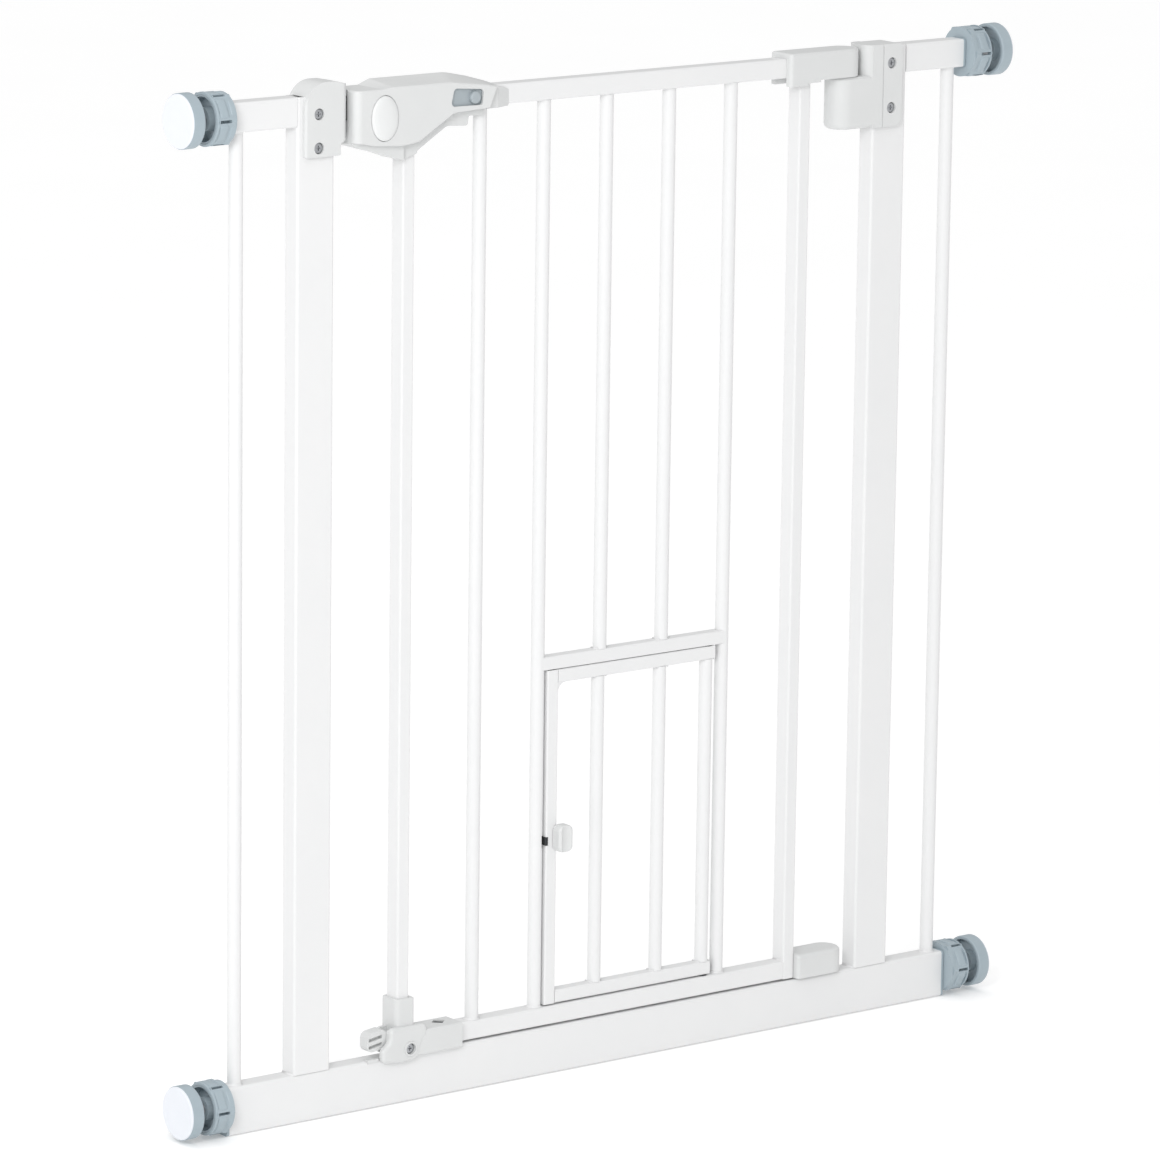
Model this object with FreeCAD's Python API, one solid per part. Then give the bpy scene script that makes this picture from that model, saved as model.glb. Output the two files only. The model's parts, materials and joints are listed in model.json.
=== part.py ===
import FreeCAD, Part
import math
import os

# Pressure-mounted walk-through pet gate with a small pet door, in millimetres.
# X runs along the gate (+X is the hinge side), Y from front to back, Z up.
# The origin is the middle of the bottom rail's underside.

Vec = FreeCAD.Vector

# ---- fixed frame -----------------------------------------------------------------------------
POST_TOP = 750.0
POST_X = 262.75
POST_W = 32.0
RAIL_D = 16.0
BOTTOM_RAIL_H = 36.0
TOP_RAIL_H = 21.3
RAIL_END_X = 335.0
OUTER_BAR_X = 325.7
BAR_D = 10.2
TUBE_WALL = 1.5
BAR_WALL = 1.0
TUBE_CORNER = 2.0
BUSH_FLANGE = 2.0

# ---- spindles --------------------------------------------------------------------------------
ROD_R = 5.0
ROD_TOP_Z = POST_TOP - TOP_RAIL_H / 2
ROD_BOTTOM_Z = 22.0
ROD_INNER_X = 292.0
NUT_INNER_X = 337.4
NUT_OUTER_X = 354.0
NUT_FLANGE_T = 4.6
NUT_R = 20.6
NUT_RIM_T = 1.8
NUT_FLANGE_R = 18.8
PAD_OUTER_X = 375.0
PAD_FACE_T = 1.5
PAD_CUP_D = 9.5
PAD_R = 19.8

# ---- door ------------------------------------------------------------------------------------
DOOR_D = 14.0
DOOR_BOTTOM = 37.5
DOOR_TOP = 746.5
DOOR_TOP_RAIL_H = 14.5
DOOR_BOTTOM_RAIL_H = 14.0
STILE_W = 10.5
LATCH_STILE_X = -181.0
HINGE_STILE_X = 182.2
JAMB_BAR_XS = (-56.0, 116.8)
FULL_BAR_X = -113.5
SHORT_BAR_XS = (1.3, 59.0)
LINTEL_BOTTOM = 308.0
LINTEL_H = 10.0
LINTEL_D = 10.0
THIN_WALL = 1.2

# ---- door hinges -----------------------------------------------------------------------------
HINGE_X = 222.0
KNUCKLE_R = 12.5
PIN_R = 4.0
PIN_CLEARANCE = 0.05
BARREL_BOTTOM = 689.5
BARREL_TOP = 729.0
CAP_TOP = 750.5
CAP_UNDERSIDE = 729.5
CAP_LEFT = 163.5
BRACKET_TOP = 752.0
BRACKET_RIGHT = 271.0
PLATE_FRONT = -12.5
SHOE_BOTTOM = 37.3
SHOE_TOP = 56.0

# ---- latch -----------------------------------------------------------------------------------
HOUSING_FRONT = -18.0
HOUSING_SPLIT = -7.5
HOUSING_STEP = -12.5
HOUSING_RECESS = -9.6
HOUSING_BACK = 12.5
HOUSING_WALL = 2.2
HOUSING_LEFT = -235.0
HOUSING_RIGHT = -88.0
NOSE_TOP = 752.2
BUTTON_X = -210.2
BUTTON_Z = 731.3
BUTTON_HALF_W = 11.6
BUTTON_HALF_H = 16.2
BUTTON_FRONT = -21.0
BUTTON_BACK = -13.0
BUTTON_GAP = 0.4
NUB_X = -130.5
NUB_Z = 740.6
BOLT_TIP_X = -237.1
BOLT_Z = (730.5, 747.6)
BOLT_HALF_D = 5.5
BOLT_TRAVEL = 12.0
STRIKE_FACE_X = -237.7
STRIKE_FOOT_X = -244.0
STRIKE_LEFT_X = -274.5
STRIKE_FRONT = -12.0
STRIKE_BACK = 10.5
STRIKE_TOP = 760.0
STRIKE_BOTTOM = 706.9

# ---- screws ----------------------------------------------------------------------------------
SCREW_HEAD_R = 3.8
SCREW_HEAD_H = 2.2
SCREW_SINK = 1.2
SCREW_SHANK_R = 2.0
STRIKE_SCREW_ZS = (713.3, 737.5)
BRACKET_SCREW_ZS = (703.7, 737.5)
BRACKET_SCREW_X = 261.0
HOUSING_SCREWS = ((-219.0, 716.0), (-178.0, 749.8))

# ---- latch-side bottom corner ----------------------------------------------------------------
SLEEVE_TOP = 79.0
SLEEVE_END_X = -130.6
SLEEVE_HALF_D = 9.5
SLEEVE_FRONT = -12.5
SLEEVE_LIP_Z = 35.0
BLOCK_FRONT = -13.0
BLOCK_X = (-196.0, -162.5)
BLOCK_TOE_X = -203.0
BLOCK_Z = (31.5, 58.5)
TAB_PIN_X = -192.6
TAB_PIN_Z = 50.0
TAB_Y = (-7.0, 2.0)
CORNER_SCREW = (-178.0, 41.5)

# ---- pet door --------------------------------------------------------------------------------
PET_TUBE = 10.0
PET_LEFT = -50.0
PET_HINGE_X = 102.0
PET_BOTTOM = 52.5
PET_TOP = 307.5
PET_BAR_XS = (0.0, 58.0)
PET_PIN_R = 2.5
PET_CORNER_R = 7.5
PET_BOLT_Z = (174.7, 181.3)
PET_BOLT_Y = (-4.3, 2.0)
PET_BOLT_TRAVEL = 4.5

JOIN = 0.01


def box(x_range, y_range, z_range):
    """Axis-aligned box from three (low, high) pairs."""
    size = [max(r) - min(r) for r in (x_range, y_range, z_range)]
    corner = Vec(min(x_range), min(y_range), min(z_range))
    return Part.makeBox(size[0], size[1], size[2], corner)


def rounded_outline(points, lift):
    """Closed wire from (a, b, corner radius) points; lift maps (a, b) to a 3-D point."""
    corners = []
    count = len(points)
    for i in range(count):
        a, b, radius = points[i]
        here = Vec(a, b, 0)
        before = Vec(points[i - 1][0], points[i - 1][1], 0) - here
        after = Vec(points[(i + 1) % count][0], points[(i + 1) % count][1], 0) - here
        before.normalize()
        after.normalize()
        if radius <= 0:
            corners.append((here, None, here))
            continue
        half = before.getAngle(after) / 2
        reach = radius / math.tan(half)
        middle = before + after
        middle.normalize()
        centre = here + middle * (radius / math.sin(half))
        corners.append((here + before * reach, centre - middle * radius, here + after * reach))
    edges = []
    for i in range(count):
        start, top, end = corners[i]
        if top is not None:
            edges.append(Part.Arc(lift(start), lift(top), lift(end)).toShape())
        following = corners[(i + 1) % count][0]
        if (following - end).Length > 1e-6:
            edges.append(Part.makeLine(lift(end), lift(following)))
    return Part.Wire(edges)


def prism(points, axis, start, end):
    """Rounded outline pushed along an axis: X takes (y, z), Y takes (x, z), Z takes (x, y)."""
    lifts = {
        "X": lambda p: Vec(start, p.x, p.y),
        "Y": lambda p: Vec(p.x, start, p.y),
        "Z": lambda p: Vec(p.x, p.y, start),
    }
    pushes = {"X": Vec(end - start, 0, 0), "Y": Vec(0, end - start, 0), "Z": Vec(0, 0, end - start)}
    face = Part.Face(rounded_outline(points, lifts[axis]))
    solid = face.extrude(pushes[axis])
    return solid if solid.Volume > 0 else solid.reversed()


def rect(a_range, b_range, radius=0.0):
    """Four rounded corners for prism()."""
    a0, a1 = min(a_range), max(a_range)
    b0, b1 = min(b_range), max(b_range)
    return [(a0, b0, radius), (a1, b0, radius), (a1, b1, radius), (a0, b1, radius)]


def rect_tube(axis, a_range, b_range, start, end, wall=TUBE_WALL, corner=TUBE_CORNER):
    """Rectangular hollow section along an axis."""
    outer = prism(rect(a_range, b_range, corner), axis, start, end)
    a_in = (min(a_range) + wall, max(a_range) - wall)
    b_in = (min(b_range) + wall, max(b_range) - wall)
    inner_corner = max(corner - wall, 0.3)
    inner = prism(rect(a_in, b_in, inner_corner), axis, start - 1, end + 1)
    return outer.cut(inner)


def rod(axis, centre, radius, length):
    """Cylinder from centre along an axis."""
    directions = {"X": Vec(1, 0, 0), "Y": Vec(0, 1, 0), "Z": Vec(0, 0, 1)}
    return Part.makeCylinder(radius, length, Vec(*centre), directions[axis])


def round_tube(x, z_range, diameter=BAR_D, wall=BAR_WALL):
    """Upright round tube in the gate's middle plane."""
    length = z_range[1] - z_range[0]
    outer = rod("Z", (x, 0, z_range[0]), diameter / 2, length)
    return outer.cut(rod("Z", (x, 0, z_range[0] - 1), diameter / 2 - wall, length + 2))


def ellipse_prism(half_w, half_h, y_range):
    """Upright oval on the button's centre, pushed along Y."""
    curve = Part.Ellipse(Vec(0, 0, 0), half_h, half_w)
    face = Part.Face(Part.Wire(curve.toShape()))
    solid = face.extrude(Vec(0, 0, y_range[1] - y_range[0]))
    solid.rotate(Vec(0, 0, 0), Vec(0, 0, 1), 90)
    solid.rotate(Vec(0, 0, 0), Vec(1, 0, 0), -90)
    solid.translate(Vec(BUTTON_X, y_range[0], BUTTON_Z))
    return solid


def fused(*shapes):
    """One solid from several touching ones."""
    return shapes[0].fuse(list(shapes[1:])).removeSplitter()


def softened(shape, radius, test):
    """Fillet the edges that test() picks; the shape comes back as it was if none can be rounded."""
    edges = [edge for edge in shape.Edges if test(edge)]
    return shape.makeFillet(radius, edges)


def edge_at(axis, value, tolerance=1e-3):
    """Test for edges that lie wholly in the plane axis = value."""
    def test(edge):
        return all(abs(getattr(v.Point, axis) - value) < tolerance for v in edge.Vertexes)
    return test


def outer_edge_at(z, right_x):
    """Test for level edges at height z, leaving out the one along the right-hand end."""
    def test(edge):
        return edge_at("z", z)(edge) and not edge_at("x", right_x)(edge)
    return test


def mirrored(shape):
    """The same piece on the other side of the gate's middle."""
    return shape.mirror(Vec(0, 0, 0), Vec(1, 0, 0))


def screw(x, z, front, depth):
    """Pan-head screw driven from the front, with a cross recess."""
    head = rod("Y", (x, front, z), SCREW_HEAD_R, SCREW_HEAD_H)
    head = softened(head, 0.8, edge_at("y", front))
    shank = rod("Y", (x, front + SCREW_HEAD_H, z), SCREW_SHANK_R, depth - SCREW_HEAD_H)
    arm = 1.8
    half_slot = 0.4
    recess_y = (front - 1, front + 1.2)
    cross = box((x - arm, x + arm), recess_y, (z - half_slot, z + half_slot)).fuse(
        box((x - half_slot, x + half_slot), recess_y, (z - arm, z + arm)))
    return fused(head, shank).cut(cross)


def screw_hole(x, z, front):
    """Counterbore and clearance hole for screw()."""
    counterbore = rod("Y", (x, front - 1, z), SCREW_HEAD_R + 0.4, 1 + SCREW_SINK + SCREW_HEAD_H)
    clearance = rod("Y", (x, front, z), SCREW_SHANK_R, 9.0)
    return counterbore.fuse(clearance)


# ---- fixed frame pieces ----------------------------------------------------------------------
HALF_RAIL_D = RAIL_D / 2
POST_INNER_X = POST_X - POST_W / 2
POST_OUTER_X = POST_X + POST_W / 2
TOP_RAIL_BOTTOM = POST_TOP - TOP_RAIL_H
SOCKET_R = 7.0


def make_bottom_rail():
    depth = (-HALF_RAIL_D, HALF_RAIL_D)
    tube = rect_tube("X", depth, (0, BOTTOM_RAIL_H), -RAIL_END_X, RAIL_END_X)
    return tube.cut(rod("Z", (HINGE_X, 0, BOTTOM_RAIL_H / 2), SOCKET_R, BOTTOM_RAIL_H))


def make_post(screw_x, screw_zs):
    """Right-hand post with the front holes for its fitting's screws."""
    width = (POST_INNER_X, POST_OUTER_X)
    tube = rect_tube("Z", width, (-HALF_RAIL_D, HALF_RAIL_D), BOTTOM_RAIL_H, POST_TOP)
    for z in screw_zs:
        tube = tube.cut(rod("Y", (screw_x, -HALF_RAIL_D - 1, z), SCREW_SHANK_R, TUBE_WALL + 2))
    return tube


def make_left_post():
    post = mirrored(make_post(POST_X, STRIKE_SCREW_ZS))
    slot_z = (BOLT_Z[0] - 3, POST_TOP + 1)
    slot_y = (-BOLT_HALF_D - 1.5, BOLT_HALF_D + 1.5)
    return post.cut(box((-POST_INNER_X - 3, -POST_INNER_X + 1), slot_y, slot_z))


def make_top_rail():
    depth = (-HALF_RAIL_D, HALF_RAIL_D)
    return rect_tube("X", depth, (TOP_RAIL_BOTTOM, POST_TOP), POST_OUTER_X, RAIL_END_X)


def make_end_bush(bottom, top, rod_z):
    """Plug in a rail's end: a flange outside, a body inside and the spindle's bore."""
    half = HALF_RAIL_D
    outer = rect((-half, half), (bottom, top), TUBE_CORNER)
    flange = prism(outer, "X", RAIL_END_X, RAIL_END_X + BUSH_FLANGE)
    inset = TUBE_WALL + 0.1
    body = prism(rect((-half + inset, half - inset), (bottom + inset, top - inset), 0.5),
                 "X", RAIL_END_X - 14, RAIL_END_X + JOIN)
    bore = rod("X", (RAIL_END_X - 20, 0, rod_z), ROD_R + 0.08, 30)
    return fused(flange, body).cut(bore)


def make_end_bushes():
    top = make_end_bush(TOP_RAIL_BOTTOM, POST_TOP, ROD_TOP_Z)
    bottom = make_end_bush(0, BOTTOM_RAIL_H, ROD_BOTTOM_Z)
    return Part.makeCompound([top, mirrored(top), bottom, mirrored(bottom)])


def make_strike_block():
    """Moulding on the left post: front plate, side wall with the bolt's pocket, hood and back lip."""
    silhouette = [
        (STRIKE_LEFT_X, STRIKE_BOTTOM, 1.5), (STRIKE_FOOT_X, STRIKE_BOTTOM, 1.5),
        (STRIKE_FOOT_X, 715.5, 0.0), (STRIKE_FACE_X, 718.0, 0.0), (STRIKE_FACE_X, 757.5, 2.0),
        (-250.0, STRIKE_TOP, 4.0), (STRIKE_LEFT_X, STRIKE_TOP, 18.0),
    ]
    plan = [(STRIKE_LEFT_X, STRIKE_FRONT, 2.0), (STRIKE_FACE_X, STRIKE_FRONT, 5.0),
            (STRIKE_FACE_X, STRIKE_BACK, 2.0), (STRIKE_LEFT_X, STRIKE_BACK, 1.0)]
    whole = prism(silhouette, "Y", STRIKE_FRONT, STRIKE_BACK)
    whole = whole.common(prism(plan, "Z", STRIKE_BOTTOM - 1, STRIKE_TOP + 1))
    post_space = box((STRIKE_LEFT_X - 1, -POST_INNER_X), (-HALF_RAIL_D, HALF_RAIL_D),
                     (STRIKE_BOTTOM - 1, POST_TOP))
    behind = box((STRIKE_LEFT_X - 1, STRIKE_FACE_X + 1), (HALF_RAIL_D, STRIKE_BACK + 1),
                 (STRIKE_BOTTOM - 1, 728.0))
    below = box((-POST_INNER_X, STRIKE_FACE_X + 1), (-HALF_RAIL_D, STRIKE_BACK + 1),
                (STRIKE_BOTTOM - 1, 712.0))
    pocket = box((-POST_INNER_X - 1, STRIKE_FACE_X + 1), (-BOLT_HALF_D - 1, BOLT_HALF_D + 1),
                 (BOLT_Z[0] - 1.5, BOLT_Z[1] + 1.5))
    block = whole.cut([post_space, behind, below, pocket])
    for z in STRIKE_SCREW_ZS:
        block = block.cut(screw_hole(-POST_X, z, STRIKE_FRONT))
    return block


def make_screws(x, zs, front):
    return Part.makeCompound([screw(x, z, front + SCREW_SINK, 7.8) for z in zs])


def make_hinge_bracket():
    """Barrel, web, upper block and screwed plate, moulded in one."""
    full_round = KNUCKLE_R - JOIN
    barrel = prism([(HINGE_X - KNUCKLE_R, -KNUCKLE_R, full_round), (POST_INNER_X + 2, -KNUCKLE_R, 0.0),
                    (POST_INNER_X + 2, KNUCKLE_R, 0.0), (HINGE_X - KNUCKLE_R, KNUCKLE_R, full_round)],
                   "Z", BARREL_BOTTOM, BARREL_TOP)
    barrel = softened(barrel, 4.5, outer_edge_at(BARREL_BOTTOM, POST_INNER_X + 2))
    barrel = barrel.makeChamfer(1.6, [e for e in barrel.Edges
                                      if outer_edge_at(BARREL_TOP, POST_INNER_X + 2)(e)])
    nose_x = HINGE_X + KNUCKLE_R + 2.0
    upper = prism([(nose_x, -KNUCKLE_R, 8.5), (POST_INNER_X + 2, -KNUCKLE_R, 0.0),
                   (POST_INNER_X + 2, KNUCKLE_R, 0.0), (nose_x, KNUCKLE_R, 8.5)],
                  "Z", BARREL_TOP - 2, BRACKET_TOP)
    plate = prism([(POST_INNER_X - 4, BARREL_BOTTOM, 0.0), (BRACKET_RIGHT, BARREL_BOTTOM, 6.0),
                   (BRACKET_RIGHT, BRACKET_TOP, 3.0), (POST_INNER_X - 4, BRACKET_TOP, 0.0)],
                  "Y", PLATE_FRONT, -HALF_RAIL_D)
    hood = prism(rect((POST_INNER_X, BRACKET_RIGHT - 3), (PLATE_FRONT, STRIKE_BACK), 1.0),
                 "Z", POST_TOP, BRACKET_TOP)
    body = fused(barrel, upper, plate, hood)
    post_space = box((POST_INNER_X, BRACKET_RIGHT + 5), (-HALF_RAIL_D, KNUCKLE_R + 1),
                     (BARREL_BOTTOM - 1, POST_TOP))
    groove = box((252.2, 253.2), (PLATE_FRONT - 1, PLATE_FRONT + 0.6),
                 (BARREL_BOTTOM - 1, BRACKET_TOP + 1))
    bore = rod("Z", (HINGE_X, 0, BARREL_BOTTOM - 1), PIN_R + PIN_CLEARANCE, 60)
    body = body.cut([post_space, groove, bore])
    for z in BRACKET_SCREW_ZS:
        body = body.cut(screw_hole(BRACKET_SCREW_X, z, PLATE_FRONT))
    return body


def make_hinge_socket():
    """Flanged bush in the bottom rail that takes the lower hinge pin."""
    flange = rod("Z", (HINGE_X, 0, BOTTOM_RAIL_H), 9.0 - 1.2, 1.0)
    body = rod("Z", (HINGE_X, 0, 22.0), SOCKET_R - 0.05, BOTTOM_RAIL_H - 22.0)
    bore = rod("Z", (HINGE_X, 0, 20.0), PIN_R + PIN_CLEARANCE, 30.0)
    return fused(flange, body).cut(bore)


def make_stop_keeper():
    """Low lip clipped over the bottom rail's front edge under the release tab."""
    top = box((-213.5, -204.0), (-8.9, -4.0), (BOTTOM_RAIL_H, BOTTOM_RAIL_H + 1.2))
    front = box((-213.5, -204.0), (-8.9, -HALF_RAIL_D), (34.4, BOTTOM_RAIL_H + 1.2))
    return fused(top, front)


# ---- spindle pieces, drawn for the right-hand side -------------------------------------------
PAD_BACK_X = PAD_OUTER_X - PAD_FACE_T - PAD_CUP_D


def make_spindle(z):
    length = PAD_OUTER_X - 4.0 - ROD_INNER_X
    bar = rod("X", (ROD_INNER_X, 0, z), ROD_R, length)
    return bar.makeChamfer(1.0, [e for e in bar.Edges if edge_at("x", ROD_INNER_X)(e)])


def make_pad_cup(z):
    """Round cup, open at the back, with a hub that holds the rod's end."""
    face_x = PAD_OUTER_X - PAD_FACE_T
    outer = rod("X", (PAD_BACK_X, 0, z), PAD_R, PAD_CUP_D)
    outer = softened(outer, 1.2, edge_at("x", PAD_BACK_X))
    hollow = rod("X", (PAD_BACK_X - 1, 0, z), PAD_R - 2.5, PAD_CUP_D - 2.0)
    hub = rod("X", (PAD_BACK_X + 1, 0, z), 8.5, PAD_CUP_D - 2.0)
    rod_space = rod("X", (PAD_BACK_X - 5, 0, z), ROD_R, face_x - 2.5 - PAD_BACK_X + 5)
    return fused(outer.cut(hollow), hub).cut(rod_space)


def make_pad_face(z):
    disc = rod("X", (PAD_OUTER_X - PAD_FACE_T, 0, z), PAD_R - 0.4, PAD_FACE_T)
    return softened(disc, 1.0, edge_at("x", PAD_OUTER_X))


def make_wheel_nut(z):
    """Six-sided hand nut: a flange against the rail, slit corners and a dished face with a rim."""
    flange = rod("X", (NUT_INNER_X, 0, z), NUT_FLANGE_R, NUT_FLANGE_T)
    flange = softened(flange, 1.5, edge_at("x", NUT_INNER_X + NUT_FLANGE_T))
    corners = []
    for i in range(6):
        angle = math.radians(60 * i)
        corners.append((NUT_R * math.cos(angle), z + NUT_R * math.sin(angle), 1.5))
    body = prism(corners, "X", NUT_INNER_X + 1, NUT_OUTER_X - 1)
    rim_x = NUT_OUTER_X - NUT_RIM_T
    rim = rod("X", (rim_x, 0, z), NUT_R - 1.2, NUT_RIM_T)
    rim = softened(rim, 0.8, edge_at("x", NUT_OUTER_X))
    dish = rod("X", (NUT_OUTER_X - 8, 0, z), 16.0, 10).cut(rod("X", (NUT_OUTER_X - 9, 0, z), 8.5, 12))
    slit = box((NUT_INNER_X + NUT_FLANGE_T + 0.6, rim_x), (15.4, NUT_R + 2), (-1.1, 1.1))
    nut = fused(flange, body, rim).cut(dish)
    for i in range(6):
        turned = slit.copy()
        turned.rotate(Vec(0, 0, 0), Vec(1, 0, 0), 60 * i)
        turned.translate(Vec(0, 0, z))
        nut = nut.cut(turned)
    return nut.cut(rod("X", (NUT_INNER_X - 1, 0, z), ROD_R + 0.08, 40))


# ---- door tubes ------------------------------------------------------------------------------
HALF_DOOR_D = DOOR_D / 2
DOOR_LEFT = LATCH_STILE_X + STILE_W / 2
DOOR_RIGHT = HINGE_STILE_X - STILE_W / 2
RAIL_TOP_Z = DOOR_BOTTOM + DOOR_BOTTOM_RAIL_H
TOP_RAIL_UNDERSIDE = DOOR_TOP - DOOR_TOP_RAIL_H


def make_stile(x):
    width = (x - STILE_W / 2, x + STILE_W / 2)
    depth = (-HALF_DOOR_D, HALF_DOOR_D)
    return rect_tube("Z", width, depth, DOOR_BOTTOM, DOOR_TOP, THIN_WALL, 1.5)


def make_latch_stile():
    stile = make_stile(LATCH_STILE_X)
    hole = rod("Y", (CORNER_SCREW[0], -HALF_DOOR_D - 1, CORNER_SCREW[1]), SCREW_SHANK_R, 4)
    return stile.cut(hole)


def make_door_rail(bottom, top):
    depth = (-HALF_DOOR_D, HALF_DOOR_D)
    return rect_tube("X", depth, (bottom, top), DOOR_LEFT, DOOR_RIGHT, THIN_WALL, 1.5)


def make_door_bottom_rail():
    pin_hole = rod("Z", (PET_HINGE_X, 0, RAIL_TOP_Z - 4), PET_PIN_R + PIN_CLEARANCE, 6)
    return make_door_rail(DOOR_BOTTOM, RAIL_TOP_Z).cut(pin_hole)


def make_door_bars():
    """Five upright bars; the jamb bar on the latch side is drilled for the pet door's bolt."""
    bars = [round_tube(x, (RAIL_TOP_Z, TOP_RAIL_UNDERSIDE)) for x in (FULL_BAR_X,) + JAMB_BAR_XS]
    bolt_hole = box((JAMB_BAR_XS[0] + 0.7, PET_LEFT), (PET_BOLT_Y[0] - 0.3, PET_BOLT_Y[1] + 0.4),
                    (PET_BOLT_Z[0] - 1.5, PET_BOLT_Z[1] + 1.5))
    bars[1] = bars[1].cut(bolt_hole)
    lintel_top = LINTEL_BOTTOM + LINTEL_H
    bars += [round_tube(x, (lintel_top, TOP_RAIL_UNDERSIDE)) for x in SHORT_BAR_XS]
    return Part.makeCompound(bars)


def make_lintel():
    """Square tube between the jamb bars, its ends shaped to fit round them."""
    depth = (-LINTEL_D / 2, LINTEL_D / 2)
    heights = (LINTEL_BOTTOM, LINTEL_BOTTOM + LINTEL_H)
    tube = rect_tube("X", depth, heights, JAMB_BAR_XS[0], JAMB_BAR_XS[1], THIN_WALL, 1.0)
    for x in JAMB_BAR_XS:
        tube = tube.cut(rod("Z", (x, 0, LINTEL_BOTTOM - 1), BAR_D / 2, LINTEL_H + 2))
    return tube.cut(rod("Z", (PET_HINGE_X, 0, LINTEL_BOTTOM - 1), PET_PIN_R + PIN_CLEARANCE, 4))


# ---- latch housing ---------------------------------------------------------------------------
NECK_X = (-189.7, -175.9)
TOP_LINE_FRONT = [(-212.0, NOSE_TOP, 4.0), (-203.0, 753.0, 8.0), (-153.0, 753.0, 40.0),
                  (-118.0, 748.6, 12.0), (-100.0, 744.5, 12.0), (-80.0, 737.0, 0.0)]
TOP_LINE_BACK = [(-213.0, NOSE_TOP, 4.0), (-203.0, 756.0, 8.0), (-137.0, 756.0, 40.0),
                 (-118.0, 752.0, 12.0), (-100.0, 747.0, 12.0), (-80.0, 737.5, 0.0)]


def below_top(drop):
    """Everything under the housing's top, which falls towards the front and towards the ends."""
    wires = []
    for y, line in ((HOUSING_FRONT, TOP_LINE_FRONT), (HOUSING_BACK, TOP_LINE_BACK)):
        points = [(-250.0, NOSE_TOP - drop, 0.0)] + [(x, z - drop, r) for x, z, r in line]
        points += [(-80.0, 680.0, 0.0), (-250.0, 680.0, 0.0)]
        wires.append(rounded_outline(points, lambda p: Vec(p.x, y, p.y)))
    return Part.makeLoft(wires, True, True)


def nose_side(inset):
    """Everything to the right of the nose's end face, whose upright corners are rounded."""
    left, front, back = HOUSING_LEFT + inset, HOUSING_FRONT + inset, HOUSING_BACK - inset
    return prism([(left, front, 5.4 - inset), (-60.0, front, 0.0), (-60.0, back, 0.0),
                  (left, back, 3.2 - inset)], "Z", 690.0, 770.0)


SHELL_OUTLINE = [
    (HOUSING_LEFT, 770.0, 0.0), (HOUSING_RIGHT, 770.0, 0.0), (HOUSING_RIGHT, 742.0, 1.0),
    (-94.0, 730.8, 1.0), (-117.5, 730.8, 0.5), (-117.5, 726.3, 1.0), (-130.5, 726.3, 1.0),
    (-131.5, 719.3, 2.0), (-150.0, 720.5, 8.0), (-168.0, 709.5, 6.0), (NECK_X[1], 704.5, 0.5),
    (NECK_X[1], 702.8, 0.5), (NECK_X[0], 698.8, 0.5), (-203.0, 703.4, 12.0), (-231.0, 711.2, 3.0),
    (HOUSING_LEFT, 713.5, 2.0),
]
COVER_OUTLINE = [
    (HOUSING_LEFT, 770.0, 0.0), (-109.6, 770.0, 0.0), (-109.6, 750.0, 0.0), (-117.0, 732.2, 1.5),
    (-149.0, 730.6, 16.0), (-180.0, 712.0, 16.0), (-195.0, 710.3, 16.0), (-219.0, 712.0, 6.0),
    (-228.0, 714.0, 2.0), (HOUSING_LEFT, 714.5, 1.5),
]


def outlined(points, offset, front, back):
    """Upright solid from an outline grown or shrunk by offset."""
    face = Part.Face(rounded_outline(points, lambda p: Vec(p.x, front, p.y)))
    if offset:
        face = face.makeOffset2D(offset)
    solid = face.extrude(Vec(0, back - front, 0))
    return solid if solid.Volume > 0 else solid.reversed()


def housing_openings():
    """Ways through the housing's walls for the stile, the rail and the bolt."""
    half = HALF_DOOR_D + 0.05
    stile = box((LATCH_STILE_X - STILE_W / 2 - 0.05, LATCH_STILE_X + STILE_W / 2 + 0.05),
                (-half, half), (690.0, DOOR_TOP + 0.05))
    rail = box((LATCH_STILE_X, HOUSING_RIGHT + 5), (-half, half),
               (TOP_RAIL_UNDERSIDE - 0.05, DOOR_TOP + 0.05))
    bolt = box((HOUSING_LEFT - 5, HOUSING_LEFT + 13), (-BOLT_HALF_D - 0.4, BOLT_HALF_D + 0.4),
               (BOLT_Z[0] - 0.4, BOLT_Z[1] + 0.4))
    bar = rod("Z", (FULL_BAR_X, 0, 690.0), BAR_D / 2 + 0.05, 50.0)
    return [stile, rail, bolt, bar]


def cover_bosses(extra=0.0):
    """Posts behind the cover that the housing's screws bite into."""
    start = HOUSING_FRONT + HOUSING_WALL - 0.5
    return [rod("Y", (x, start, z), 2.6 + extra, HALF_DOOR_D - start) for x, z in HOUSING_SCREWS]


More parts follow.
